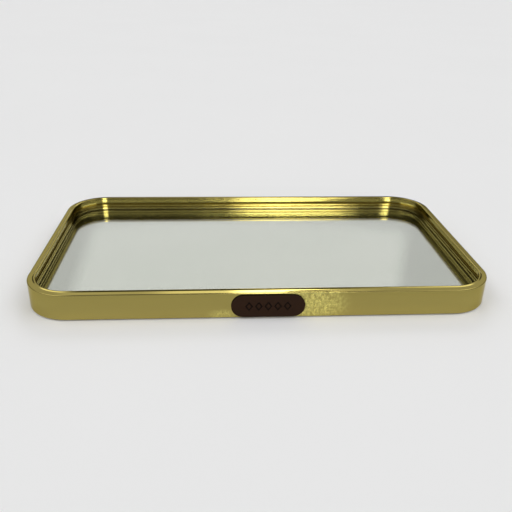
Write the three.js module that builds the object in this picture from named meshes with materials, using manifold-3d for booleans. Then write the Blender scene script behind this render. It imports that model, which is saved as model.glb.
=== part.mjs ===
// A dresser vanity tray: a mirror floor held in a bent metal rim, with a leather label on the front.
// Millimetres, +Z up, +X to the right, +Y to the back. The origin is on the surface that the tray
// stands on, under the middle of the rim.
import * as THREE from "three";
import { mergeVertices } from "three/addons/utils/BufferGeometryUtils.js";
import Module from "manifold-3d";

// ---- Driving dimensions -------------------------------------------------------------------------

// The rim, measured over its outer wall. The height is that of the outer wall's upper edge.
const TRAY_LENGTH = 350;
const TRAY_DEPTH = 200;
const RIM_HEIGHT = 20;
const CORNER_RADIUS = 33;
const FOOT_PROUD = 1; // how far the feet lift the rim off the surface

// The rim's profile. "In" is the distance inwards from the outer face, and "up" the height above the
// rim's foot.
const WALL = 1.25;
const OUTER_EDGE_RADIUS = 0.7;
const FLANGE_IN = 3.9; // where the sloping flange meets its bead
const FLANGE_UP = 20.35;
const BEAD_IN = 5; // the bead's crest, which is the rim's highest line
const BEAD_UP = 20.95;
const BEAD_RADIUS = 0.9;
const BEAD_FOOT_UP = 19.5;
const LIP_FACE = 5.3; // the smooth band below the bead
const LIP_FACE_TOP_UP = 19.1;
const LIP_FACE_FOOT_IN = 4.9;
const LIP_FACE_FOOT_UP = 16.2;
const COVE_IN = 3.75; // the deep groove below the lip face
const COVE_UP = 13.15;
const RIB_FACE = 5.3;
const RIB_TOP_UP = 13.15;
const RIB_FOOT_UP = 12.05;
const NARROW_COVE_IN = 4.2;
const NARROW_COVE_UP = 10.9;
const FOOT_BEAD_FACE = 5.05;
const FOOT_BEAD_TOP_UP = 10.5;
const FOOT_BEAD_EDGE = 0.3; // chamfer of its lower edge
const SKIRT_BACK = 3; // outer face of the skirt
const SKIRT_FOOT_UP = 9.25;
const LIP_IN = 2.4;
const LIP_HEIGHT = 1.25;
const FOOT_EDGE = 0.3; // chamfer of the outer wall's lower edge

// The butt joint that closes the rim, at the middle of the front
const SEAM_GAP = 0.3;
const SPLICE_LENGTH = 44;
const SPLICE_HEIGHT = 7.5;
const SPLICE_THICKNESS = 1.25;
const SPLICE_UP = 11; // the splice plate's lower edge
const RIVET_X = 15;
const RIVET_UP = 14.75;
const RIVET_RADIUS = 1.5;
const RIVET_HEAD_RADIUS = 2.3;
const RIVET_HEAD_DEPTH = 0.8;
const RIVET_TAIL_RADIUS = 2;
const RIVET_TAIL_LENGTH = 0.35;
const RIVET_FIT = 0.15; // gap round a rivet

// The layers of the floor, each from its underside up. All heights are multiples of a quarter.
const GLASS = { bottom: 7, thickness: 3 };
const SILVER = { bottom: 6.75, thickness: 0.25 };
const FOAM = { bottom: 6.25, thickness: 0.5 };
const BOARD = { bottom: 3.75, thickness: 2.5 };
const FELT = { bottom: 3, thickness: 0.75 };
const FLOOR_EDGE_IN = 2.75; // the floor's edge, inwards from the rim's outer face
const SOFT_EDGE_IN = 4.5; // the foam's and the felt's edge
const GASKET_HEIGHT = 0.25;
const GASKET_EDGE_IN = 4.5;

// Retaining clips and their screws
const CLIP_SPACING = 105; // between the three on a long side
const CLIP_LENGTH = 15;
const CLIP_WIDTH = 11;
const CLIP_THICKNESS = 0.75;
const CLIP_TOE_BEVEL = 1;
const CLIP_HEEL_RADIUS = 2.5;
const CLIP_TOE_IN = 1.55; // the clip's toe, inwards from the rim's outer face
const CLIP_HOLE_RADIUS = 1.6;
const CLIP_HOLE_FROM_TOE = 9.5;
const SCREW_HEAD_RADIUS = 2.6;
const SCREW_HEAD_HEIGHT = 1;
const SCREW_SHANK_RADIUS = 1.15;
const SCREW_LENGTH = 3.75;
const SCREW_POINT = 1;
const RECESS_LENGTH = 2.6;
const RECESS_WIDTH = 0.5;
const RECESS_DEPTH = 1.2; // half of it is inside the head
const PILOT_RADIUS = 1.4;

// Feet
const FOOT_RADIUS = 8;
const FOOT_EDGE_RADIUS = 0.75;
const FOOT_X = 138;
const FOOT_Y = 66;

// The leather label on the front wall
const LABEL_LENGTH = 54;
const LABEL_HEIGHT = 18;
const LABEL_THICKNESS = 1;
const LABEL_EDGE = 0.25; // rounding of the label's edges
const LABEL_OFFSET_X = 2.5;
const LABEL_OFFSET_Z = -0.4; // from the middle of the rim's height
const ADHESIVE_THICKNESS = 0.25;
const ADHESIVE_INSET = 1.5;
const LOZENGE_COUNT = 5;
const LOZENGE_PITCH = 7;
const LOZENGE_HALF_WIDTH = 2.8;
const LOZENGE_HALF_HEIGHT = 3.8;
const LOZENGE_STROKE = 0.8;
const LOZENGE_DEPTH = 0.4;

const OVERCUT = 1; // how far a cutting tool stands out of what it cuts

// Facets
const CORNER_STEPS = 12;
const PROFILE_ARC_STEPS = 4;
const HOLE_STEPS = 12;
const HEEL_STEPS = 4;
const SCREW_STEPS = 16;
const FOOT_STEPS = 28;
const FOOT_EDGE_STEPS = 3;

// ---- Materials ----------------------------------------------------------------------------------

function finish(color, roughness, metalness) {
  return new THREE.MeshStandardMaterial({ color, roughness, metalness });
}

// The pieces' materials
const goldMetal = () => finish(0xb8a24a, 0.18, 1);
const plateMetal = () => finish(0x9fa0a2, 0.35, 1);
const glassPane = () => finish(0xdfe8e2, 0.03, 0);
const silvering = () => finish(0xc9cdc4, 0.05, 1);
const blackRubber = () => finish(0x18181a, 0.75, 0);
const whiteFoam = () => finish(0xe9e7e0, 0.9, 0);
const fibreboard = () => finish(0x9a7148, 0.85, 0);
const blackFelt = () => finish(0x1b1a1c, 1, 0);
const springSteel = () => finish(0x8d8f92, 0.3, 1);
const zincSteel = () => finish(0xb9b7ac, 0.28, 1);
const brownLeather = () => finish(0x2c1e12, 0.65, 0);
const clearTape = () => finish(0xd9d4c4, 0.5, 0);

// ---- Solid work ---------------------------------------------------------------------------------

const wasm = await Module();
wasm.setup();

function toSolid(geometry) {
  const bare = geometry.clone();
  bare.deleteAttribute("normal");
  bare.deleteAttribute("uv");
  const merged = mergeVertices(bare, 1e-4);
  return new wasm.Manifold(
    new wasm.Mesh({
      numProp: 3,
      vertProperties: merged.attributes.position.array,
      triVerts: new Uint32Array(merged.index.array),
    }),
  );
}

function toGeometry(solid) {
  const mesh = solid.getMesh();
  const geometry = new THREE.BufferGeometry();
  geometry.setAttribute("position", new THREE.BufferAttribute(mesh.vertProperties, 3));
  geometry.setIndex(new THREE.BufferAttribute(mesh.triVerts, 1));
  geometry.computeVertexNormals();
  return geometry;
}

function cut(geometry, tools) {
  const left = tools.reduce((solid, tool) => solid.subtract(toSolid(tool)), toSolid(geometry));
  return toGeometry(left);
}

function named(name, geometry, material) {
  const mesh = new THREE.Mesh(geometry, material);
  mesh.name = name;
  return mesh;
}

// ---- Outlines -----------------------------------------------------------------------------------

// The tray's plan outline, moved inwards from the rim's outer face.
function planOutline(inwards, Kind = THREE.Shape) {
  const x = TRAY_LENGTH / 2 - inwards;
  const y = TRAY_DEPTH / 2 - inwards;
  const r = CORNER_RADIUS - inwards;
  const outline = new Kind();
  outline.absarc(x - r, y - r, r, 0, Math.PI / 2);
  outline.absarc(-x + r, y - r, r, Math.PI / 2, Math.PI);
  outline.absarc(-x + r, -y + r, r, Math.PI, 1.5 * Math.PI);
  outline.absarc(x - r, -y + r, r, 1.5 * Math.PI, 2 * Math.PI);
  outline.closePath();
  return outline;
}

// A circle as a polygon of HOLE_STEPS sides.
function hole(x, y, radius) {
  const path = new THREE.Path();
  for (let i = 0; i < HOLE_STEPS; i++) {
    const angle = (2 * Math.PI * i) / HOLE_STEPS;
    const point = [x + radius * Math.cos(angle), y + radius * Math.sin(angle)];
    if (i === 0) path.moveTo(...point);
    else path.lineTo(...point);
  }
  path.closePath();
  return path;
}

function stadium(length, height) {
  const r = height / 2;
  const straight = length / 2 - r;
  const outline = new THREE.Shape();
  outline.absarc(straight, 0, r, -Math.PI / 2, Math.PI / 2);
  outline.absarc(-straight, 0, r, Math.PI / 2, 1.5 * Math.PI);
  outline.closePath();
  return outline;
}

// ---- Ways to make a piece -----------------------------------------------------------------------

// Extrudes an outline upwards from z = 0. three.js splits an arc into twice curveSegments sides.
function extrude(outline, depth, arcSteps = CORNER_STEPS, edges = { bevelEnabled: false }) {
  return new THREE.ExtrudeGeometry(outline, { depth, curveSegments: arcSteps / 2, ...edges });
}

// One layer of the floor, with its edge a distance inwards from the rim's outer face.
function layer({ bottom, thickness }, inwards, holes = []) {
  const outline = planOutline(inwards);
  outline.holes.push(...holes);
  return extrude(outline, thickness).translate(0, 0, bottom);
}

// Extrudes an outline and stands it up, so that its thickness runs from y = 0 towards -Y.
function standing(outline, thickness, edges) {
  return extrude(outline, thickness, CORNER_STEPS, edges).rotateX(Math.PI / 2);
}

// A solid of revolution about +Y, from [radius, y] points that start and end on the axis.
function turned(outline, steps) {
  const points = outline.map(([radius, y]) => new THREE.Vector2(radius, y));
  return new THREE.LatheGeometry(points, steps);
}

// ---- The rim ------------------------------------------------------------------------------------

// The closed run of the rim's outer face, anticlockwise from the seam at the front. Each straight is one
// step of the extrusion and each corner has CORNER_STEPS of them, whatever their lengths.
class RimRun extends THREE.Curve {
  constructor() {
    super();
    this.steps = 5 + 4 * CORNER_STEPS;
    const start = new THREE.Vector3(SEAM_GAP / 2, -TRAY_DEPTH / 2, FOOT_PROUD);
    this.stations = [start];
    for (const quarter of [-1, 0, 1, 2]) this.addCorner((quarter * Math.PI) / 2);
    this.stations.push(new THREE.Vector3(-SEAM_GAP / 2, -TRAY_DEPTH / 2, FOOT_PROUD));
  }

  addCorner(startAngle) {
    const middle = startAngle + Math.PI / 4;
    const x = Math.sign(Math.cos(middle)) * (TRAY_LENGTH / 2 - CORNER_RADIUS);
    const y = Math.sign(Math.sin(middle)) * (TRAY_DEPTH / 2 - CORNER_RADIUS);
    for (let i = 0; i <= CORNER_STEPS; i++) {
      const angle = startAngle + ((Math.PI / 2) * i) / CORNER_STEPS;
      const point = new THREE.Vector3(Math.cos(angle), Math.sin(angle), 0).multiplyScalar(CORNER_RADIUS);
      this.stations.push(point.add(new THREE.Vector3(x, y, FOOT_PROUD)));
    }
  }

  getPoint(t) {
    return this.stations[Math.round(t * this.steps)].clone();
  }

  // The direction of the run: along the rim's outer face, square to the line from the corner's centre.
  getTangent(t) {
    const p = this.stations[Math.round(t * this.steps)];
    const x = Math.max(Math.abs(p.x) - (TRAY_LENGTH / 2 - CORNER_RADIUS), 0) * Math.sign(p.x);
    const y = Math.max(Math.abs(p.y) - (TRAY_DEPTH / 2 - CORNER_RADIUS), 0) * Math.sign(p.y);
    return new THREE.Vector3(-y, x, 0).normalize();
  }

  getUtoTmapping(u) {
    return u;
  }
}

// The rim's profile. The extrusion turns a shape's x to point down and its y to point into the tray.
function rimProfile() {
  const shape = new THREE.Shape();
  const to = (inwards, up) => shape.lineTo(-up, inwards);
  const round = (inwards, up, radius, from, end) => shape.absarc(-up, inwards, radius, from, end, true);
  const outer = OUTER_EDGE_RADIUS;
  shape.moveTo(-FOOT_EDGE, 0);
  to(0, RIM_HEIGHT - outer);
  round(outer, RIM_HEIGHT - outer, outer, 1.5 * Math.PI, Math.PI);
  to(FLANGE_IN, FLANGE_UP);
  round(BEAD_IN, BEAD_UP - BEAD_RADIUS, BEAD_RADIUS, 1.25 * Math.PI, Math.PI / 2);
  to(BEAD_IN + BEAD_RADIUS, BEAD_FOOT_UP);
  to(LIP_FACE, LIP_FACE_TOP_UP);
  to(LIP_FACE_FOOT_IN, LIP_FACE_FOOT_UP);
  to(COVE_IN, COVE_UP);
  to(RIB_FACE, RIB_TOP_UP);
  to(RIB_FACE, RIB_FOOT_UP);
  to(NARROW_COVE_IN, NARROW_COVE_UP);
  to(FOOT_BEAD_FACE, FOOT_BEAD_TOP_UP);
  to(FOOT_BEAD_FACE, SKIRT_FOOT_UP + FOOT_BEAD_EDGE);
  to(FOOT_BEAD_FACE - FOOT_BEAD_EDGE, SKIRT_FOOT_UP);
  to(SKIRT_BACK, SKIRT_FOOT_UP);
  to(SKIRT_BACK, RIM_HEIGHT - WALL);
  to(WALL, RIM_HEIGHT - WALL);
  to(WALL, LIP_HEIGHT);
  to(LIP_IN, LIP_HEIGHT);
  to(LIP_IN, 0);
  to(FOOT_EDGE, 0);
  shape.closePath();
  return shape;
}

// The countersunk hole for a splice rivet.
function rivetHole(x) {
  const radius = RIVET_RADIUS + RIVET_FIT;
  const headRadius = RIVET_HEAD_RADIUS + RIVET_FIT;
  const outline = [
    [0, -OVERCUT],
    [headRadius, -OVERCUT],
    [headRadius, 0],
    [radius, RIVET_HEAD_DEPTH],
    [radius, WALL + OVERCUT],
    [0, WALL + OVERCUT],
  ];
  return onFrontWall(turned(outline, HOLE_STEPS), x);
}

// Moves a piece made round the +Y axis to a rivet's place, with y = 0 at the rim's outer face.
function onFrontWall(geometry, x) {
  return geometry.translate(x, -TRAY_DEPTH / 2, FOOT_PROUD + RIVET_UP);
}

function rimFrame() {
  const run = new RimRun();
  const bent = new THREE.ExtrudeGeometry(rimProfile(), {
    steps: run.steps,
    curveSegments: PROFILE_ARC_STEPS / 2,
    extrudePath: run,
  });
  return cut(bent, [rivetHole(-RIVET_X), rivetHole(RIVET_X)]);
}

// ---- The butt joint behind the label ------------------------------------------------------------

function splicePlate() {
  const plate = new THREE.Shape();
  plate.moveTo(-SPLICE_LENGTH / 2, 0);
  plate.lineTo(SPLICE_LENGTH / 2, 0);
  plate.lineTo(SPLICE_LENGTH / 2, SPLICE_HEIGHT);
  plate.lineTo(-SPLICE_LENGTH / 2, SPLICE_HEIGHT);
  plate.closePath();
  for (const x of [-RIVET_X, RIVET_X]) {
    plate.holes.push(hole(x, RIVET_UP - SPLICE_UP, RIVET_RADIUS + RIVET_FIT));
  }
  const back = -TRAY_DEPTH / 2 + WALL + SPLICE_THICKNESS;
  return standing(plate, SPLICE_THICKNESS).translate(0, back, FOOT_PROUD + SPLICE_UP);
}

function spliceRivet(x) {
  const tail = WALL + SPLICE_THICKNESS;
  const outline = [
    [0, 0],
    [RIVET_HEAD_RADIUS, 0],
    [RIVET_RADIUS, RIVET_HEAD_DEPTH],
    [RIVET_RADIUS, tail],
    [RIVET_TAIL_RADIUS, tail],
    [RIVET_TAIL_RADIUS, tail + RIVET_TAIL_LENGTH],
    [0, tail + RIVET_TAIL_LENGTH],
  ];
  return onFrontWall(turned(outline, HOLE_STEPS), x);
}

// ---- The floor ----------------------------------------------------------------------------------

// Each clip's place: a point on the rim's outer face, and the turn that points its toe outwards.
const CLIPS = {
  front_left: { x: -CLIP_SPACING, y: -TRAY_DEPTH / 2, turn: 0 },
  front_middle: { x: 0, y: -TRAY_DEPTH / 2, turn: 0 },
  front_right: { x: CLIP_SPACING, y: -TRAY_DEPTH / 2, turn: 0 },
  right: { x: TRAY_LENGTH / 2, y: 0, turn: Math.PI / 2 },
  back_right: { x: CLIP_SPACING, y: TRAY_DEPTH / 2, turn: Math.PI },
  back_middle: { x: 0, y: TRAY_DEPTH / 2, turn: Math.PI },
  back_left: { x: -CLIP_SPACING, y: TRAY_DEPTH / 2, turn: Math.PI },
  left: { x: -TRAY_LENGTH / 2, y: 0, turn: 1.5 * Math.PI },
};

// The screw's place in plan, at the clip's hole.
function screwPlace({ x, y, turn }) {
  const inwards = CLIP_TOE_IN + CLIP_HOLE_FROM_TOE;
  return [x - inwards * Math.sin(turn), y + inwards * Math.cos(turn)];
}

function pilotHoles() {
  return Object.values(CLIPS).map((clip) => hole(...screwPlace(clip), PILOT_RADIUS));
}

function glassGasket() {
  const ring = { bottom: GLASS.bottom + GLASS.thickness, thickness: GASKET_HEIGHT };
  return layer(ring, SKIRT_BACK, [planOutline(GASKET_EDGE_IN, THREE.Path)]);
}

// A flat stamped clip, with its toe towards -Y from the origin and its heel rounded.
function retainingClip() {
  const plate = new THREE.Shape();
  const side = CLIP_WIDTH / 2;
  const heel = CLIP_HEEL_RADIUS;
  plate.moveTo(-side + CLIP_TOE_BEVEL, 0);
  plate.lineTo(side - CLIP_TOE_BEVEL, 0);
  plate.lineTo(side, CLIP_TOE_BEVEL);
  plate.absarc(side - heel, CLIP_LENGTH - heel, heel, 0, Math.PI / 2);
  plate.absarc(-side + heel, CLIP_LENGTH - heel, heel, Math.PI / 2, Math.PI);
  plate.lineTo(-side, CLIP_TOE_BEVEL);
  plate.closePath();
  plate.holes.push(hole(0, CLIP_HOLE_FROM_TOE, CLIP_HOLE_RADIUS));
  return extrude(plate, CLIP_THICKNESS, HEEL_STEPS).translate(0, CLIP_TOE_IN, 0);
}

// A pan-head screw with a cross recess. Its head hangs below z = 0 and its shank points up.
function clipScrew() {
  const outline = [
    [0, -SCREW_HEAD_HEIGHT],
    [0.7 * SCREW_HEAD_RADIUS, -SCREW_HEAD_HEIGHT],
    [0.92 * SCREW_HEAD_RADIUS, -0.65 * SCREW_HEAD_HEIGHT],
    [SCREW_HEAD_RADIUS, -0.3 * SCREW_HEAD_HEIGHT],
    [SCREW_HEAD_RADIUS, 0],
    [SCREW_SHANK_RADIUS, 0],
    [SCREW_SHANK_RADIUS, SCREW_LENGTH - SCREW_POINT],
    [0, SCREW_LENGTH],
  ];
  const blank = turned(outline, SCREW_STEPS).rotateX(Math.PI / 2);
  const slot = () => new THREE.BoxGeometry(RECESS_LENGTH, RECESS_WIDTH, RECESS_DEPTH);
  const recess = [slot(), slot().rotateZ(Math.PI / 2)];
  return cut(blank, recess.map((box) => box.translate(0, 0, -SCREW_HEAD_HEIGHT)));
}

function foot() {
  const outline = [[0, 0]];
  for (let i = 0; i <= FOOT_EDGE_STEPS; i++) {
    const angle = ((Math.PI / 2) * i) / FOOT_EDGE_STEPS;
    const radius = FOOT_RADIUS - FOOT_EDGE_RADIUS * (1 - Math.sin(angle));
    outline.push([radius, FOOT_EDGE_RADIUS * (1 - Math.cos(angle))]);
  }
  outline.push([FOOT_RADIUS, FELT.bottom], [0, FELT.bottom]);
  return turned(outline, FOOT_STEPS).rotateX(Math.PI / 2);
}

// ---- The label ----------------------------------------------------------------------------------

function lozenge(halfWidth, halfHeight, Kind = THREE.Shape) {
  const outline = new Kind();
  outline.moveTo(halfWidth, 0);
  outline.lineTo(0, halfHeight);
  outline.lineTo(-halfWidth, 0);
  outline.lineTo(0, -halfHeight);
  outline.closePath();
  return outline;
}

// The pressed ornament: a row of open lozenges.
function lozengeCutters() {
  const inner = 1 - LOZENGE_STROKE / LOZENGE_HALF_WIDTH;
  return Array.from({ length: LOZENGE_COUNT }, (_, i) => {
    const ring = lozenge(LOZENGE_HALF_WIDTH, LOZENGE_HALF_HEIGHT);
    ring.holes.push(lozenge(LOZENGE_HALF_WIDTH * inner, LOZENGE_HALF_HEIGHT * inner, THREE.Path));
    const x = (i - (LOZENGE_COUNT - 1) / 2) * LOZENGE_PITCH;
    return standing(ring, 2 * LOZENGE_DEPTH).translate(x, -LABEL_THICKNESS + LOZENGE_DEPTH, 0);
  });
}

function labelPlaque() {
  const edges = {
    bevelThickness: LABEL_EDGE,
    bevelSize: LABEL_EDGE,
    bevelOffset: -LABEL_EDGE,
    bevelSegments: 2,
  };
  const outline = stadium(LABEL_LENGTH, LABEL_HEIGHT);
  const plaque = standing(outline, LABEL_THICKNESS - 2 * LABEL_EDGE, edges);
  return cut(plaque.translate(0, -LABEL_EDGE, 0), lozengeCutters());
}

function labelAdhesive() {
  const outline = stadium(LABEL_LENGTH - 2 * ADHESIVE_INSET, LABEL_HEIGHT - 2 * ADHESIVE_INSET);
  return standing(outline, ADHESIVE_THICKNESS);
}

// ---- The tray -----------------------------------------------------------------------------------

const tray = new THREE.Group();
tray.add(named("rim_frame", rimFrame(), goldMetal()));
tray.add(named("splice_plate", splicePlate(), plateMetal()));
tray.add(named("splice_rivet_left", spliceRivet(-RIVET_X), plateMetal()));
tray.add(named("splice_rivet_right", spliceRivet(RIVET_X), plateMetal()));

tray.add(named("glass_gasket", glassGasket(), blackRubber()));
tray.add(named("mirror_glass", layer(GLASS, FLOOR_EDGE_IN), glassPane()));
tray.add(named("mirror_silvering", layer(SILVER, FLOOR_EDGE_IN), silvering()));
tray.add(named("foam_sheet", layer(FOAM, SOFT_EDGE_IN), whiteFoam()));
tray.add(named("backing_board", layer(BOARD, FLOOR_EDGE_IN, pilotHoles()), fibreboard()));
tray.add(named("base_felt", layer(FELT, SOFT_EDGE_IN, pilotHoles()), blackFelt()));

for (const [place, clip] of Object.entries(CLIPS)) {
  const retainer = named(`retaining_clip_${place}`, retainingClip(), springSteel());
  retainer.position.set(clip.x, clip.y, FELT.bottom - CLIP_THICKNESS);
  retainer.rotation.z = clip.turn;
  tray.add(retainer);

  const screw = named(`clip_screw_${place}`, clipScrew(), zincSteel());
  screw.position.set(...screwPlace(clip), FELT.bottom - CLIP_THICKNESS);
  screw.rotation.z = clip.turn;
  tray.add(screw);
}

for (const [row, y] of [["front", -FOOT_Y], ["back", FOOT_Y]]) {
  for (const [side, x] of [["left", -FOOT_X], ["right", FOOT_X]]) {
    const pad = named(`foot_${row}_${side}`, foot(), blackRubber());
    pad.position.set(x, y, 0);
    tray.add(pad);
  }
}

const labelGroup = new THREE.Group();
labelGroup.position.set(LABEL_OFFSET_X, -TRAY_DEPTH / 2, FOOT_PROUD + RIM_HEIGHT / 2 + LABEL_OFFSET_Z);
labelGroup.add(named("label_adhesive", labelAdhesive(), clearTape()));
const plaque = named("label_plaque", labelPlaque(), brownLeather());
plaque.position.y = -ADHESIVE_THICKNESS;
labelGroup.add(plaque);
tray.add(labelGroup);

export default tray;
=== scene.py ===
"""A dresser vanity tray: a mirror floor in a bent gold-coloured metal rim, with a pressed leather label.

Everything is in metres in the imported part's own frame: +Z up, +X to the right, +Y to the back.
"""

import math

import bmesh
import bpy
import numpy as np
from mathutils import Matrix, Vector


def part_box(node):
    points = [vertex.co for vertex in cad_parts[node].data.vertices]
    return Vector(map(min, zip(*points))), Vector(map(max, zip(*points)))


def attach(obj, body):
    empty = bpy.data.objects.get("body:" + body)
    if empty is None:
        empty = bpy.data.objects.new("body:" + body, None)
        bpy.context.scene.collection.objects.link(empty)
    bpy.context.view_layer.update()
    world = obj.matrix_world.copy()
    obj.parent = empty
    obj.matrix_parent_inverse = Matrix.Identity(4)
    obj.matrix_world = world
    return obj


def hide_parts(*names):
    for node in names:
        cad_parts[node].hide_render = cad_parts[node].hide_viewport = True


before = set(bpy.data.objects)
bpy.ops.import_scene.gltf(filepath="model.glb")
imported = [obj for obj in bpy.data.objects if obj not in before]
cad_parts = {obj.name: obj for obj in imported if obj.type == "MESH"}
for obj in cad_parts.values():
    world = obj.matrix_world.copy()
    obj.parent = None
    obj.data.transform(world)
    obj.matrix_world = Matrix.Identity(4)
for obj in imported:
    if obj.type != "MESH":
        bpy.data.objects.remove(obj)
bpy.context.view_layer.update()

MM = 0.001
BODY = "root"
SHARP_ANGLE = math.radians(35)

# Rim
CORNER_RADIUS = 33 * MM
CORNER_STEPS = 44
CORNER_BLEND = 12 * MM  # how far the bend eases in and out, along the rim
BLEND_STEPS = 6
SEAM_GAP = 0.3 * MM

# Mirror
GLASS_EDGE_IN = 2.75 * MM
SHEET_CORNER_STEPS = 24
PANE_EDGE = 0.4 * MM
PANE_LIFT = 0.03 * MM  # the hair's gap between the pane and its silver
SILVER_EDGE = 0.05 * MM

# Label
LABEL_EDGE = 0.45 * MM  # rounding of its front edge
LABEL_EDGE_STEPS = 6
LABEL_SIDE_STEPS = 180
LABEL_END_STEPS = 44
LABEL_MARGIN = 4.7 * MM  # how far in from its edge the face is plain
MARGIN_RING_STEP = 0.6 * MM
ORNAMENT_RING_STEP = 0.18 * MM
LOZENGE_HALF_WIDTH = 2.8 * MM
LOZENGE_HALF_HEIGHT = 3.8 * MM
LOZENGE_PITCH = 7 * MM
LOZENGE_STROKE = 0.85 * MM
LOZENGE_DEPTH = 0.45 * MM

# Feet and screws
FOOT_EDGE = 0.75 * MM
FOOT_EDGE_STEPS = 8
FOOT_STEPS = 72
HEAD_RADIUS = 2.6 * MM
HEAD_HEIGHT = 1.0 * MM
HEAD_CROWN = 0.75 * MM  # how much lower the head's middle is than its brim
HEAD_RINGS = 30
SHANK_RADIUS = 1.15 * MM
SHANK_POINT = 1.0 * MM
SCREW_STEPS = 64
RECESS_DEPTH = 0.6 * MM
RECESS_HALF_WIDTH = (0.18 * MM, 0.36 * MM)  # at the recess's floor and at its brim
RECESS_HALF_LENGTH = (1.15 * MM, 1.55 * MM)

rim_low, rim_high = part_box("rim_frame")


# ---- Mesh helpers ---------------------------------------------------------------------------------


def add_piece(name, mesh, material, slot, *replaced):
    """Links a mesh as a piece of the tray that stands for the named CAD nodes."""
    piece = bpy.data.objects.new(name, mesh)
    bpy.context.scene.collection.objects.link(piece)
    mesh.materials.append(material)
    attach(piece, BODY)
    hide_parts(*replaced)


def filleted(corners):
    """A closed clockwise outline with rounded corners: its points, outward normals and lengths.

    corners holds (x, y, radius, steps) for each corner.
    """
    points, normals = [], []
    for i, (x, y, radius, steps) in enumerate(corners):
        here = np.array([x, y])
        before = here - np.array(corners[i - 1][:2])
        after = np.array(corners[(i + 1) % len(corners)][:2]) - here
        before /= np.linalg.norm(before)
        after /= np.linalg.norm(after)
        turn = math.atan2(before[0] * after[1] - before[1] * after[0], before @ after)
        side = -math.copysign(1, turn)
        start_normal = np.array([-before[1], before[0]])
        start = here - before * radius * math.tan(abs(turn) / 2)
        centre = start - side * radius * start_normal
        angle = math.atan2(start_normal[1], start_normal[0])
        for step in range(steps + 1):
            a = angle + turn * step / steps
            normal = np.array([math.cos(a), math.sin(a)])
            points.append(centre + side * radius * normal)
            normals.append(normal)
    points, normals = np.array(points), np.array(normals)
    gaps = np.linalg.norm(np.roll(points, -1, axis=0) - points, axis=1)
    return points, normals, np.concatenate([[0], np.cumsum(gaps)])


def plan_run(half_x, half_y, radius, steps, gap=0.0, ease=0.0):
    """Stations anticlockwise round a rounded rectangle, from the middle of the front.

    Returns the places, the inward directions, the eased inward directions for shading, and the
    running lengths. A gap leaves the run open at the front. The ease is the length before and after
    each bend over which the shading turns.
    """
    places, angles = [(gap / 2, -half_y)], [-math.pi / 2]
    eased_steps = BLEND_STEPS if ease else 0
    for quarter in (-1, 0, 1, 2):
        start = quarter * math.pi / 2
        end = start + math.pi / 2
        middle = (start + end) / 2
        cx = math.copysign(half_x - radius, math.cos(middle))
        cy = math.copysign(half_y - radius, math.sin(middle))
        first = (cx + radius * math.cos(start), cy + radius * math.sin(start))
        last = (cx + radius * math.cos(end), cy + radius * math.sin(end))
        for step in range(eased_steps, 0, -1):
            back = ease * step / eased_steps
            places.append((first[0] + back * math.sin(start), first[1] - back * math.cos(start)))
            angles.append(start)
        for step in range(steps + 1):
            a = start + (end - start) * step / steps
            places.append((cx + radius * math.cos(a), cy + radius * math.sin(a)))
            angles.append(a)
        for step in range(1, eased_steps + 1):
            on = ease * step / eased_steps
            places.append((last[0] - on * math.sin(end), last[1] + on * math.cos(end)))
            angles.append(end)
    if gap:
        places.append((-gap / 2, -half_y))
        angles.append(1.5 * math.pi)
    places, angles = np.array(places), np.array(angles)
    lengths = np.linalg.norm(np.diff(places, axis=0, append=places[:1]), axis=1)
    along = np.concatenate([[0], np.cumsum(lengths)])
    shading = eased_angles(along[:-1], angles, ease) if ease else angles
    return places, inward(angles), inward(shading), along


def inward(angles):
    """The unit directions opposite to those angles."""
    return np.stack([-np.cos(angles), -np.sin(angles)], axis=1)


def eased_angles(along, angles, ease):
    """The turning angle averaged over a length on both sides of each station."""
    samples = 6000
    fine = np.linspace(along[0] - ease, along[-1] + ease, samples)
    total = np.cumsum(np.interp(fine, along, angles)) * (fine[1] - fine[0])
    after = np.interp(along + ease, fine, total)
    before = np.interp(along - ease, fine, total)
    return (after - before) / (2 * ease)


def swept(name, profile, run):
    """Sweeps a closed profile of (inwards, height) points along an open plan run.

    The normals are exact along it and the ends are flat.
    """
    points, point_normals, across = profile
    places, inwards, shading, along = run
    rows, columns = len(places), len(points)
    vertices, vertex_normals = [], []
    for place, direction, shade in zip(places, inwards, shading):
        for (depth, height), (normal_in, normal_up) in zip(points, point_normals):
            vertices.append((*(place + direction * depth), height))
            vertex_normals.append((*(shade * normal_in), normal_up))
    faces, corner_normals, uvs = [], [], []
    for i in range(rows - 1):
        for j in range(columns):
            around = [(i, j), (i + 1, j), (i + 1, j + 1), (i, j + 1)]
            face = [a * columns + b % columns for a, b in around]
            faces.append(face)
            corner_normals += [vertex_normals[k] for k in face]
            uvs += [(along[a], across[b]) for a, b in around]
    for row, outward in ((0, (-1, 0, 0)), (rows - 1, (1, 0, 0))):
        end = [row * columns + j for j in range(columns)]
        faces.append(end if row == 0 else end[::-1])
        corner_normals += [outward] * columns
        uvs += [(0.0, 0.0)] * columns
    mesh = bpy.data.meshes.new(name)
    mesh.from_pydata([tuple(v) for v in vertices], [], faces)
    mesh.polygons.foreach_set("use_smooth", [True] * len(mesh.polygons))
    mesh.uv_layers.new(name="run").data.foreach_set("uv", np.array(uvs, float).ravel())
    mesh.update()
    mesh.normals_split_custom_set([tuple(n) for n in corner_normals])
    return mesh


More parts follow.
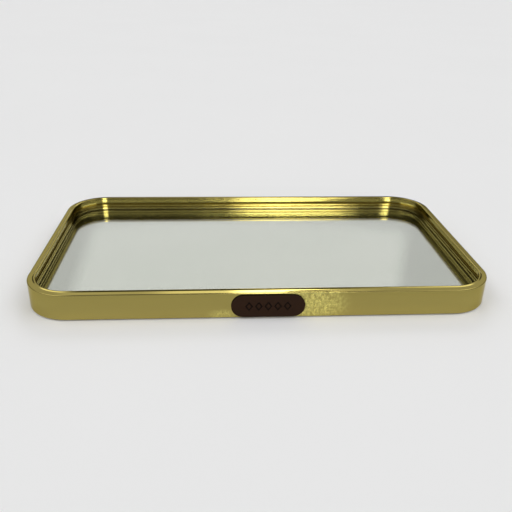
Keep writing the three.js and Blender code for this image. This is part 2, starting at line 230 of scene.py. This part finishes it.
def ringed(name, rings, closed_start=True, closed_end=True):
    """A mesh through closed rings of points, smooth but for its sharp edges."""
    bm = bmesh.new()
    made = [[bm.verts.new(tuple(p)) for p in ring] for ring in rings]
    count = len(made[0])
    for lower, upper in zip(made, made[1:]):
        for i in range(count):
            bm.faces.new((lower[i], lower[(i + 1) % count], upper[(i + 1) % count], upper[i]))
    if closed_start:
        bm.faces.new(made[0][::-1])
    if closed_end:
        bm.faces.new(made[-1])
    bmesh.ops.remove_doubles(bm, verts=bm.verts[:], dist=0.002 * MM)
    bmesh.ops.recalc_face_normals(bm, faces=bm.faces[:])
    mesh = bpy.data.meshes.new(name)
    bm.to_mesh(mesh)
    bm.free()
    mesh.polygons.foreach_set("use_smooth", [True] * len(mesh.polygons))
    mesh.set_sharp_from_angle(angle=SHARP_ANGLE)
    return mesh


def smoothstep(value, low, high):
    """0 up to low, 1 from high, and a smooth rise between them."""
    t = np.clip((value - low) / (high - low), 0, 1)
    return t * t * (3 - 2 * t)


# ---- Material helpers -----------------------------------------------------------------------------


class Nodes:
    """A node tree and short ways to add to it."""

    def __init__(self, tree):
        self.tree = tree

    def node(self, kind, inputs=None, **settings):
        made = self.tree.nodes.new(kind)
        for key, value in settings.items():
            setattr(made, key, value)
        for key, value in (inputs or {}).items():
            self.put(made.inputs[key], value)
        return made

    def put(self, socket, value):
        if isinstance(value, bpy.types.NodeSocket):
            self.tree.links.new(value, socket)
        else:
            socket.default_value = value

    def math(self, operation, first, second=0.0):
        return self.node("ShaderNodeMath", {0: first, 1: second}, operation=operation).outputs[0]

    def spread(self, value, low, high, to_low=0.0, to_high=1.0, kind="LINEAR"):
        inputs = {"Value": value, 1: low, 2: high, 3: to_low, 4: to_high}
        return self.node("ShaderNodeMapRange", inputs, interpolation_type=kind).outputs["Result"]


class Look(Nodes):
    """A material under construction: one Principled surface and the nodes that feed it."""

    def __init__(self, name, **values):
        self.material = bpy.data.materials.new(name)
        self.material.use_nodes = True
        super().__init__(self.material.node_tree)
        self.surface = self.tree.nodes["Principled BSDF"]
        for socket, value in values.items():
            self.surface.inputs[socket.replace("_", " ")].default_value = value

    def feed(self, socket, value):
        self.put(self.surface.inputs[socket], value)

    def coordinates(self, kind="Object", scale=(1, 1, 1)):
        source = self.node("ShaderNodeTexCoord").outputs[kind]
        return self.node("ShaderNodeMapping", {"Vector": source, "Scale": scale}).outputs["Vector"]

    def noise(self, vector, scale, detail=3.0, roughness=0.5):
        inputs = {"Vector": vector, "Scale": scale, "Detail": detail, "Roughness": roughness}
        return self.node("ShaderNodeTexNoise", inputs).outputs["Fac"]

    def blend(self, factor, first, second):
        made = self.node("ShaderNodeMix", data_type="RGBA")
        self.put(made.inputs["Factor"], factor)
        self.put(made.inputs[6], first)
        self.put(made.inputs[7], second)
        return made.outputs[2]

    def bump(self, height, strength, distance, normal=None):
        inputs = {"Height": height, "Strength": strength, "Distance": distance}
        if normal is not None:
            inputs["Normal"] = normal
        return self.node("ShaderNodeBump", inputs).outputs["Normal"]

    def near(self, place, reach):
        """1 at a place in the tray's frame, falling to 0 at a distance from it (metres, per axis)."""
        scale = [1 / r for r in reach]
        location = [-p / r for p, r in zip(place, reach)]
        source = self.node("ShaderNodeTexCoord").outputs["Object"]
        inputs = {"Vector": source, "Location": location, "Scale": scale}
        local = self.node("ShaderNodeMapping", inputs).outputs["Vector"]
        distance = self.node("ShaderNodeVectorMath", {0: local}, operation="LENGTH").outputs["Value"]
        return self.spread(distance, 1.0, 0.25, kind="SMOOTHSTEP")


def rgb(red, green, blue):
    return (red, green, blue, 1.0)


# ---- Materials ------------------------------------------------------------------------------------


def gold_metal():
    """Gold-anodised extrusion: polished, with faint die lines along it and handling marks.

    The wall is rippled beside the label, where the label was pressed on, and its ripples carry painted
    highlights: pale gold flecks in the colour.
    """
    look = Look("gold_metal", Metallic=1.0, Specular_Tint=rgb(0.85, 0.80, 0.60))
    lines = look.noise(look.coordinates("UV", (5, 1900, 1)), 1.0, 3.0, 0.6)
    cloud = look.noise(look.coordinates(), 22.0, 4.0)
    ripples = look.noise(look.coordinates("Object", (1, 1, 0.7)), 480.0, 4.0, 0.7)
    front = rim_low.y
    right_of_label = look.near((36 * MM, front, 11 * MM), (31 * MM, 4 * MM, 20 * MM))
    left_of_label = look.near((-31 * MM, front, 3 * MM), (14 * MM, 4 * MM, 6 * MM))
    pressed = look.math("MAXIMUM", right_of_label, look.math("MULTIPLY", left_of_label, 0.6))
    height = look.node("ShaderNodeSeparateXYZ", {"Vector": look.coordinates()}).outputs["Z"]
    # painted shade: the wall's colour darkens towards its top, and is pale again on the flange
    painted_shade_to_top = look.math(
        "MULTIPLY",
        look.spread(height, 2 * MM, 19 * MM),
        look.spread(height, 21.2 * MM, 20.4 * MM),
    )
    pale = look.blend(cloud, rgb(0.40, 0.33, 0.099), rgb(0.455, 0.377, 0.117))
    color = look.blend(painted_shade_to_top, pale, rgb(0.345, 0.286, 0.082))
    # painted highlights: pale gold flecks on the ripples beside the label, standing in for glints
    painted_glints = look.math("MULTIPLY", look.spread(ripples, 0.40, 0.68, 0.12, 1.0), pressed)
    look.feed("Base Color", look.blend(painted_glints, color, rgb(0.95, 0.86, 0.26)))
    look.feed("Roughness", look.spread(cloud, 0.35, 0.65, 0.08, 0.15))
    dents = look.bump(look.math("MULTIPLY", ripples, pressed), 1.0, 1.1 * MM)
    look.feed("Normal", look.bump(lines, 0.10, 0.03 * MM, dents))
    return look.material


def clear_glass():
    """Clear float glass with its faint green."""
    look = Look("clear_glass", Roughness=0.0, IOR=1.52, Transmission_Weight=1.0)
    haze = look.noise(look.coordinates(), 14.0)
    look.feed("Base Color", look.blend(haze, rgb(0.965, 0.985, 0.972), rgb(0.985, 0.995, 0.988)))
    return look.material


def silvering():
    """The mirror's silver, with its faint clouding."""
    look = Look("silvering", Metallic=1.0)
    cloud = look.noise(look.coordinates("Object", (1, 1.6, 1)), 11.0, 4.0)
    look.feed("Base Color", look.blend(cloud, rgb(0.67, 0.68, 0.61), rgb(0.705, 0.715, 0.645)))
    look.feed("Roughness", look.spread(cloud, 0.3, 0.7, 0.012, 0.03))
    return look.material


def brown_leather():
    """Pressed leather: fine grain, and darker where the ornament is pressed in."""
    look = Look("brown_leather", Specular_IOR_Level=0.08)
    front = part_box("label_plaque")[0].y
    vector = look.coordinates()
    depth = look.node("ShaderNodeSeparateXYZ", {"Vector": vector}).outputs["Y"]
    pressed = look.spread(depth, front + 0.08 * MM, front + 0.3 * MM)
    inputs = {"Vector": vector, "Scale": 1500.0}
    cells = look.node("ShaderNodeTexVoronoi", inputs, feature="F1").outputs["Distance"]
    fine = look.noise(vector, 2600.0, 4.0)
    cloud = look.noise(vector, 130.0, 3.0)
    hide = look.blend(cloud, rgb(0.020, 0.0085, 0.0038), rgb(0.031, 0.0135, 0.0062))
    look.feed("Base Color", look.blend(pressed, hide, rgb(0.0045, 0.0018, 0.0008)))
    look.feed("Roughness", look.spread(cloud, 0.3, 0.7, 0.5, 0.66))
    grain = look.bump(look.math("ADD", cells, look.math("MULTIPLY", fine, 0.5)), 0.35, 0.12 * MM)
    look.feed("Normal", grain)
    return look.material


def black_felt():
    """Flocked felt: short fibres along Y over soft tufts."""
    look = Look("black_felt", Roughness=1.0, Sheen_Weight=0.25, Specular_IOR_Level=0.1)
    vector = look.coordinates()
    fibres = look.noise(look.coordinates("Object", (1, 0.35, 1)), 2200.0, 4.0, 0.7)
    tufts = look.noise(vector, 260.0, 3.0)
    look.feed("Base Color", look.blend(fibres, rgb(0.010, 0.0095, 0.0115), rgb(0.042, 0.040, 0.044)))
    look.feed("Normal", look.bump(look.math("ADD", fibres, tufts), 0.6, 0.4 * MM))
    return look.material


def black_rubber():
    """Moulded rubber with a fine matt grain."""
    look = Look("black_rubber", Specular_IOR_Level=0.3)
    cloud = look.noise(look.coordinates(), 320.0, 4.0)
    look.feed("Base Color", look.blend(cloud, rgb(0.007, 0.007, 0.0075), rgb(0.016, 0.016, 0.017)))
    look.feed("Roughness", look.spread(cloud, 0.3, 0.7, 0.62, 0.8))
    look.feed("Normal", look.bump(look.noise(look.coordinates(), 3000.0), 0.25, 0.05 * MM))
    return look.material


def drawn_metal(name, dark, light, roughness, grain):
    """A bare metal with its rolling grain along X."""
    look = Look(name, Metallic=1.0)
    lines = look.noise(look.coordinates("Object", (0.05, 1, 1)), grain, 3.0)
    cloud = look.noise(look.coordinates(), 160.0)
    look.feed("Base Color", look.blend(cloud, rgb(*dark), rgb(*light)))
    look.feed("Roughness", look.spread(lines, 0.3, 0.7, roughness - 0.07, roughness + 0.07))
    look.feed("Normal", look.bump(lines, 0.12, 0.03 * MM))
    return look.material


def grained(name, dark, light, scale, roughness, relief):
    """A matt material of two tones with a grain of that scale and relief."""
    look = Look(name, Roughness=roughness, Specular_IOR_Level=0.3)
    cloud = look.noise(look.coordinates(), scale, 5.0, 0.6)
    look.feed("Base Color", look.blend(cloud, rgb(*dark), rgb(*light)))
    look.feed("Normal", look.bump(cloud, 0.4, relief))
    return look.material


MATERIALS = {
    "gold_metal": gold_metal(),
    "clear_glass": clear_glass(),
    "silvering": silvering(),
    "brown_leather": brown_leather(),
    "black_felt": black_felt(),
    "black_rubber": black_rubber(),
    "spring_steel": drawn_metal("spring_steel", (0.40, 0.41, 0.43), (0.52, 0.53, 0.55), 0.28, 2600.0),
    "zinc_steel": drawn_metal("zinc_steel", (0.55, 0.53, 0.44), (0.68, 0.67, 0.62), 0.26, 1500.0),
    "plain_aluminium": drawn_metal("plain_aluminium", (0.50, 0.50, 0.51), (0.62, 0.62, 0.63), 0.32, 2000.0),
    "fibreboard": grained("fibreboard", (0.17, 0.09, 0.042), (0.34, 0.20, 0.10), 900.0, 0.85, 0.15 * MM),
    "amber_rubber": grained("amber_rubber", (0.24, 0.16, 0.022), (0.30, 0.20, 0.03), 500.0, 0.6, 0.03 * MM),
    "white_foam": grained("white_foam", (0.62, 0.61, 0.57), (0.80, 0.79, 0.75), 1800.0, 0.9, 0.2 * MM),
    "clear_tape": grained("clear_tape", (0.52, 0.49, 0.41), (0.66, 0.63, 0.55), 700.0, 0.45, 0.03 * MM),
}


# ---- The rim --------------------------------------------------------------------------------------


def rim_profile():
    """The extrusion's section as (inwards, height) corners with their rounding, in millimetres.

    Down from the top it has a sloping flange with a raised bead, a lip, a deep cove, a rib, a narrow
    cove, and the foot bead of the skirt that holds the glass down.
    """
    corners = [
        (0.0, 0.0, 0.3, 4),
        (0.0, 20.0, 0.75, 8),
        (3.9, 20.35, 0.3, 3),
        (5.0, 21.05, 0.7, 7),
        (5.9, 20.65, 0.5, 6),
        (5.9, 19.5, 0.3, 5),
        (5.3, 19.1, 0.2, 3),
        (4.9, 16.2, 2.5, 7),
        (3.75, 13.15, 0.2, 4),
        (5.3, 13.15, 0.16, 4),
        (5.3, 12.05, 0.16, 4),
        (4.2, 10.9, 0.12, 3),
        (5.05, 10.5, 0.15, 4),
        (5.05, 9.07, 0.14, 4),
        (4.56, 9.07, 0.05, 2),
        (4.56, 9.25, 0.05, 2),
        (3.0, 9.25, 0.2, 2),
        (3.0, 18.75, 0.1, 2),
        (1.25, 18.75, 0.1, 2),
        (1.25, 1.25, 0.1, 2),
        (2.4, 1.25, 0.2, 3),
        (2.4, 0.0, 0.2, 3),
    ]
    foot = rim_low.z
    return [(x * MM, foot + z * MM, radius * MM, steps) for x, z, radius, steps in corners]


def build_rim():
    """The extrusion, bent round the four corners and butted in the middle of the front."""
    half_x, half_y = (rim_high.x - rim_low.x) / 2, (rim_high.y - rim_low.y) / 2
    run = plan_run(half_x, half_y, CORNER_RADIUS, CORNER_STEPS, SEAM_GAP, CORNER_BLEND)
    mesh = swept("rim", filleted(rim_profile()), run)
    add_piece("rim", mesh, MATERIALS["gold_metal"], "gold_metal", "rim_frame")


# ---- The mirror -----------------------------------------------------------------------------------


def build_sheet(name, node, slot, edge, lift=0.0):
    """A flat sheet of the mirror with eased edges, its underside raised by the lift."""
    low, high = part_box(node)
    radius = CORNER_RADIUS - GLASS_EDGE_IN
    half_x, half_y = (high.x - low.x) / 2, (high.y - low.y) / 2
    places, inwards, _, _ = plan_run(half_x, half_y, radius, SHEET_CORNER_STEPS)
    bottom = low.z + lift
    levels = [(bottom, edge), (bottom + edge, 0.0), (high.z - edge, 0.0), (high.z, edge)]
    rings = [[(*(p + n * inset), height) for p, n in zip(places, inwards)] for height, inset in levels]
    add_piece(name, ringed(name, rings), MATERIALS[slot], slot, node)


# ---- The label ------------------------------------------------------------------------------------


def lozenge_depth(x, z):
    """How far the ornament is pressed in: a row of five open lozenges with soft strokes."""
    inradius = LOZENGE_HALF_WIDTH * LOZENGE_HALF_HEIGHT / math.hypot(LOZENGE_HALF_WIDTH, LOZENGE_HALF_HEIGHT)
    floor, brim = 0.25 * LOZENGE_STROKE, 0.62 * LOZENGE_STROKE
    pressed = 0.0
    for i in range(-2, 3):
        reach = abs(x - i * LOZENGE_PITCH) / LOZENGE_HALF_WIDTH + abs(z) / LOZENGE_HALF_HEIGHT
        off_line = abs(reach - 1 + LOZENGE_STROKE / 2 / inradius) * inradius
        pressed = max(pressed, 1 - float(smoothstep(off_line, floor, brim)))
    return LOZENGE_DEPTH * pressed


def build_label():
    """A raised stadium with a rounded front edge and the ornament pressed into its face."""
    low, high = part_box("label_plaque")
    middle = (low + high) / 2
    radius = (high.z - low.z) / 2
    straight = (high.x - low.x) / 2 - radius
    thickness = high.y - low.y
    # round the stadium: the place on its long axis, and the outward direction there
    around = []
    for side in (1, -1):
        for step in range(LABEL_SIDE_STEPS):
            around.append((side * straight * (1 - 2 * step / LABEL_SIDE_STEPS), 0.0, side))
        for step in range(LABEL_END_STEPS):
            a = math.pi * step / LABEL_END_STEPS
            around.append((-side * straight, -side * math.sin(a), side * math.cos(a)))
    quarter = [math.pi / 2 * step / LABEL_EDGE_STEPS for step in range(LABEL_EDGE_STEPS + 1)]
    insets = [LABEL_EDGE * (1 - math.cos(a)) for a in quarter]
    insets += list(np.arange(LABEL_EDGE + 0.5 * MM, LABEL_MARGIN, MARGIN_RING_STEP))
    insets += list(np.arange(LABEL_MARGIN, radius, ORNAMENT_RING_STEP)) + [radius]
    rings = [[(middle.x + m + radius * dx, high.y, middle.z + radius * dz) for m, dx, dz in around]]
    for inset in insets:
        rise = thickness
        if inset < LABEL_EDGE:
            rise = thickness - LABEL_EDGE + math.sqrt(LABEL_EDGE**2 - (LABEL_EDGE - inset) ** 2)
        ring = []
        for m, dx, dz in around:
            x, z = m + (radius - inset) * dx, (radius - inset) * dz
            ring.append((middle.x + x, high.y - rise + lozenge_depth(x, z), middle.z + z))
        rings.append(ring)
    mesh = ringed("label", rings, closed_end=False)
    add_piece("label", mesh, MATERIALS["brown_leather"], "brown_leather", "label_plaque")


# ---- The underside --------------------------------------------------------------------------------


def circle(x, y, radius, height, steps):
    """A level ring of points about a place."""
    angles = [2 * math.pi * k / steps for k in range(steps)]
    return [(x + radius * math.cos(a), y + radius * math.sin(a), height) for a in angles]


def build_foot(node):
    """A moulded pad with a rounded edge and a shallow round recess in its underside."""
    low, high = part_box(node)
    x, y = (low.x + high.x) / 2, (low.y + high.y) / 2
    radius, top_edge = (high.x - low.x) / 2, 0.2 * MM
    # the recessed middle of the underside, then the rounded edge, both as (radius, height)
    recess = [(0.0, 0.35), (2.4, 0.35), (2.8, 0.3), (3.1, 0.05), (3.4, 0.0)]
    levels = [(r * MM, z * MM) for r, z in recess]
    for step in range(FOOT_EDGE_STEPS + 1):
        a = math.pi / 2 * step / FOOT_EDGE_STEPS
        levels.append((radius - FOOT_EDGE * (1 - math.sin(a)), FOOT_EDGE * (1 - math.cos(a))))
    levels += [(radius, high.z - top_edge), (radius - top_edge, high.z), (0.0, high.z)]
    rings = [circle(x, y, r, z, FOOT_STEPS) for r, z in levels]
    mesh = ringed(node + "_pad", rings, closed_start=False, closed_end=False)
    add_piece(node + "_pad", mesh, MATERIALS["black_rubber"], "black_rubber", node)


def build_screw(node, turn):
    """A pan-head screw seen from below: a domed head with a cross recess."""
    low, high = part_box(node)
    x, y = (low.x + high.x) / 2, (low.y + high.y) / 2
    brim = low.z + HEAD_HEIGHT
    shank = [(0.0, high.z), (SHANK_RADIUS, high.z - SHANK_POINT), (SHANK_RADIUS, brim), (HEAD_RADIUS, brim)]
    rings = [circle(x, y, radius, height, SCREW_STEPS) for radius, height in shank]
    for k in range(HEAD_RINGS + 1):
        reach = 1 - k / HEAD_RINGS
        dome = HEAD_CROWN * (1 - math.sqrt(max(0.0, 1 - reach**4)))
        ring = []
        for px, py, _ in circle(0, 0, HEAD_RADIUS * reach, 0, SCREW_STEPS):
            u = px * math.cos(turn) + py * math.sin(turn)
            v = py * math.cos(turn) - px * math.sin(turn)
            ring.append((x + px, y + py, low.z + dome + recess_depth(u, v)))
        rings.append(ring)
    mesh = ringed(node + "_turned", rings, closed_start=False, closed_end=False)
    add_piece(node + "_turned", mesh, MATERIALS["zinc_steel"], "zinc_steel", node)


def recess_depth(u, v):
    """How deep the cross recess is at a place on the head, measured along its two slots."""

    def slot(along, across):
        inside = 1 - smoothstep(abs(across), *RECESS_HALF_WIDTH)
        return inside * (1 - smoothstep(abs(along), *RECESS_HALF_LENGTH))

    return RECESS_DEPTH * float(max(slot(u, v), slot(v, u)))


# ---- The pieces kept from the CAD -----------------------------------------------------------------


KEPT_MATERIALS = {
    "splice": "plain_aluminium",
    "glass_gasket": "amber_rubber",
    "foam": "white_foam",
    "backing": "fibreboard",
    "base_felt": "black_felt",
    "retaining": "spring_steel",
    "label_adhesive": "clear_tape",
}


def finish_kept(name, node):
    """Gives a CAD piece its procedural material, and eases the edges of the stamped metal."""
    material = next(material for start, material in KEPT_MATERIALS.items() if name.startswith(start))
    node.data.materials.clear()
    node.data.materials.append(MATERIALS[material])
    if name.startswith(("retaining", "splice")):
        bevel = node.modifiers.new("eased_edges", "BEVEL")
        bevel.width = 0.14 * MM
        bevel.segments = 3
        bevel.limit_method = "ANGLE"
        bevel.angle_limit = SHARP_ANGLE
        bevel.harden_normals = True


# ---- Surroundings ---------------------------------------------------------------------------------


def build_stage():
    """A plain pale floor."""
    size = 30.0
    corners = [(-size, -size, 0), (size, -size, 0), (size, size, 0), (-size, size, 0)]
    mesh = bpy.data.meshes.new("floor")
    mesh.from_pydata(corners, [], [(0, 1, 2, 3)])
    floor = bpy.data.objects.new("floor", mesh)
    bpy.context.scene.collection.objects.link(floor)
    look = Look("pale_floor", Roughness=0.9, Specular_IOR_Level=0.1)
    cloud = look.noise(look.coordinates(), 3.0)
    look.feed("Base Color", look.blend(cloud, rgb(0.90, 0.90, 0.90), rgb(0.92, 0.92, 0.92)))
    mesh.materials.append(look.material)


class Sky(Nodes):
    """The soft studio round the tray, by direction: pale walls, a dark ceiling and soft boxes.

    Directions are in degrees: the height above the horizon, and the turn towards +X from +Y (back)
    or from -Y (front).
    """

    def __init__(self):
        world = bpy.data.worlds.new("studio")
        bpy.context.scene.world = world
        world.use_nodes = True
        super().__init__(world.node_tree)
        direction = self.node("ShaderNodeTexCoord").outputs["Generated"]
        split = self.node("ShaderNodeSeparateXYZ", {"Vector": direction}).outputs
        self.back = self.degrees("ARCTAN2", split["X"], split["Y"])
        self.front = self.degrees("ARCTAN2", split["X"], self.math("MULTIPLY", split["Y"], -1.0))
        self.height = self.degrees("ARCSINE", split["Z"])
        self.parts = []

    def degrees(self, operation, first, second=0.0):
        return self.math("DEGREES", self.math(operation, first, second))

    def step(self, value, start, end):
        return self.spread(value, start, end, kind="SMOOTHSTEP")

    def window(self, value, low, high, soft):
        rise = self.step(value, low - soft, low + soft)
        fall = self.step(value, high + soft, high - soft)
        return self.math("MULTIPLY", rise, fall)

    def add(self, strength, *shapes):
        """Adds light of that strength, shaped by the product of the shapes."""
        total = strength
        for shape in shapes:
            total = self.math("MULTIPLY", shape, total)
        self.parts.append(total)

    def box(self, strength, turn, across, height, soft):
        self.add(strength, self.window(turn, *across, soft), self.window(self.height, *height, soft))

    def finish(self):
        total = self.parts[0]
        for part in self.parts[1:]:
            total = self.math("ADD", total, part)
        color = self.node("ShaderNodeCombineColor", {0: total, 1: total, 2: total})
        background = self.tree.nodes["Background"]
        self.put(background.inputs["Color"], color.outputs[0])
        background.inputs["Strength"].default_value = 1.0


def build_sky():
    """Pale walls, a lamp and a bright panel at the back, and soft boxes at the front and sides."""
    sky = Sky()
    # walls and a ceiling that falls to dark overhead, over a dark band along the horizon that is
    # taller towards the sides
    aside = sky.math("MINIMUM", sky.math("ABSOLUTE", sky.back), 40.0)
    band = sky.math("MULTIPLY", aside, 0.38)
    above_horizon = sky.step(sky.math("SUBTRACT", sky.height, band), 3, 10)
    sky.add(0.30, sky.step(sky.height, 44, 39), above_horizon)
    sky.add(0.24, sky.step(sky.height, 66, 40), above_horizon)
    sky.add(0.09, sky.step(sky.height, -90, 0))
    # the back wall's bright panel, whose left edge leans, and the lamp above it
    lean = sky.math("MULTIPLY", sky.math("SUBTRACT", sky.height, 22.0), 0.5)
    left_edge = sky.step(sky.math("ADD", sky.back, lean), -13.4, -11.0)
    right_edge = sky.step(sky.back, 21, 18.8)
    sky.add(0.22, left_edge, right_edge, sky.window(sky.height, 22.2, 42, 1.2))
    sky.box(6.0, sky.back, (2.8, 13), (35, 50), 1.5)
    sky.box(0.9, sky.back, (-7, 4), (36, 44), 2.0)
    # the front soft box with its brighter core, and the pale room round it
    sky.box(6.0, sky.front, (2.4, 13.2), (9, 58), 1.2)
    sky.box(2.5, sky.front, (6.0, 8.4), (9, 50), 0.8)
    sky.box(0.20, sky.front, (-60, 60), (12, 30), 5.0)
    sky.box(0.30, sky.front, (-50, 50), (36, 66), 6.0)
    # two large soft boxes high at the sides
    beside = sky.window(sky.math("ABSOLUTE", sky.front), 48, 118, 8.0)
    sky.add(1.7, beside, sky.window(sky.height, 40, 72, 6.0))
    sky.finish()


def build_camera():
    """A camera at the reference viewing angle: in front, a little to the left, looking down."""
    data = bpy.data.cameras.new("camera")
    data.sensor_width, data.lens = 36.0, 41.19
    data.clip_start, data.clip_end = 0.01, 100
    camera = bpy.data.objects.new("camera", data)
    bpy.context.scene.collection.objects.link(camera)
    place = Vector((-0.03515, -0.46451, 0.22788))
    pitch, yaw, roll = math.radians(25.88), math.radians(4.37), math.radians(1.35)
    camera.matrix_world = (
        Matrix.Translation(place)
        @ Matrix.Rotation(-yaw, 4, "Z")
        @ Matrix.Rotation(math.pi / 2 - pitch, 4, "X")
        @ Matrix.Rotation(roll, 4, "Z")
    )
    bpy.context.scene.camera = camera


# the CAD nodes that finer pieces stand for, besides the feet and the screws
REBUILT = ("rim_frame", "mirror_glass", "mirror_silvering", "label_plaque")

build_rim()
build_sheet("mirror_pane", "mirror_glass", "clear_glass", PANE_EDGE, PANE_LIFT)
build_sheet("mirror_silver", "mirror_silvering", "silvering", SILVER_EDGE)
build_label()
for node_name in sorted(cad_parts):
    if node_name.startswith("foot_"):
        build_foot(node_name)
    elif node_name.startswith("clip_screw_"):
        # the recesses stop at different turns
        build_screw(node_name, 0.7 * len(node_name))
    elif node_name not in REBUILT:
        finish_kept(node_name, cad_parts[node_name])
build_stage()
build_sky()
build_camera()
bpy.context.scene.view_settings.view_transform = "Standard"
